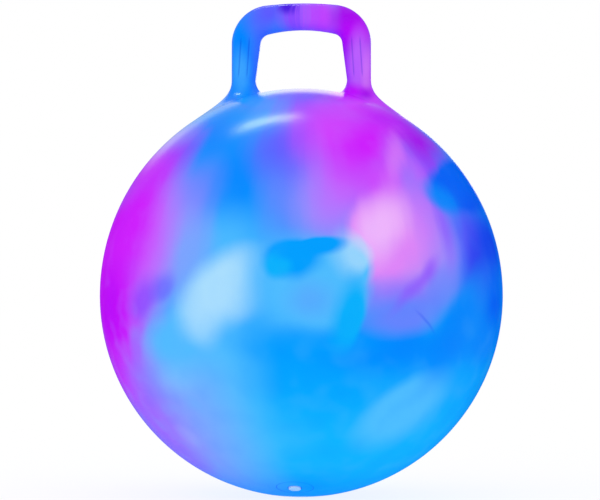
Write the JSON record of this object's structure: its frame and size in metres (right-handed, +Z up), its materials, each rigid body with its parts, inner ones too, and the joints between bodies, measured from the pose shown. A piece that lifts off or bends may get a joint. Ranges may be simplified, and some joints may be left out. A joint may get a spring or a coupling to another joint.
{
  "type": "hopper ball",
  "caption": "Pumped-up bouncing ball of marbled vinyl to sit on, with a hollow loop handle on top and a push-in valve plug.",
  "frame": {"origin": "on the floor, in the middle of the flat spot that the ball rests on", "axes": "+Z up through the handle, +X to the right of someone facing the front, -Y towards the front, where the valve is"},
  "size_m": [0.45, 0.45, 0.5514],
  "materials": {
    "ball_vinyl": "glossy soft vinyl, marbled in azure, pale sky blue, violet and magenta",
    "loop_vinyl": "glossy soft vinyl, azure on the left leg, indigo and violet over the grip, magenta on the right leg",
    "seat_vinyl": "glossy soft vinyl, azure like the skin round it",
    "plug_plastic": "slightly clouded white plastic, satin"
  },
  "bodies": {
    "ball": {"ball_skin": "ball_vinyl", "handle_loop": "loop_vinyl", "valve_seat": "seat_vinyl"},
    "plug": {"valve_plug": "plug_plastic"}
  },
  "joints": [
    {"name": "plug_pull", "type": "slide", "parent": "ball", "child": "plug", "axis": [0, -0.3746, -0.9272], "range_m": [0, 0.012]}
  ]
}
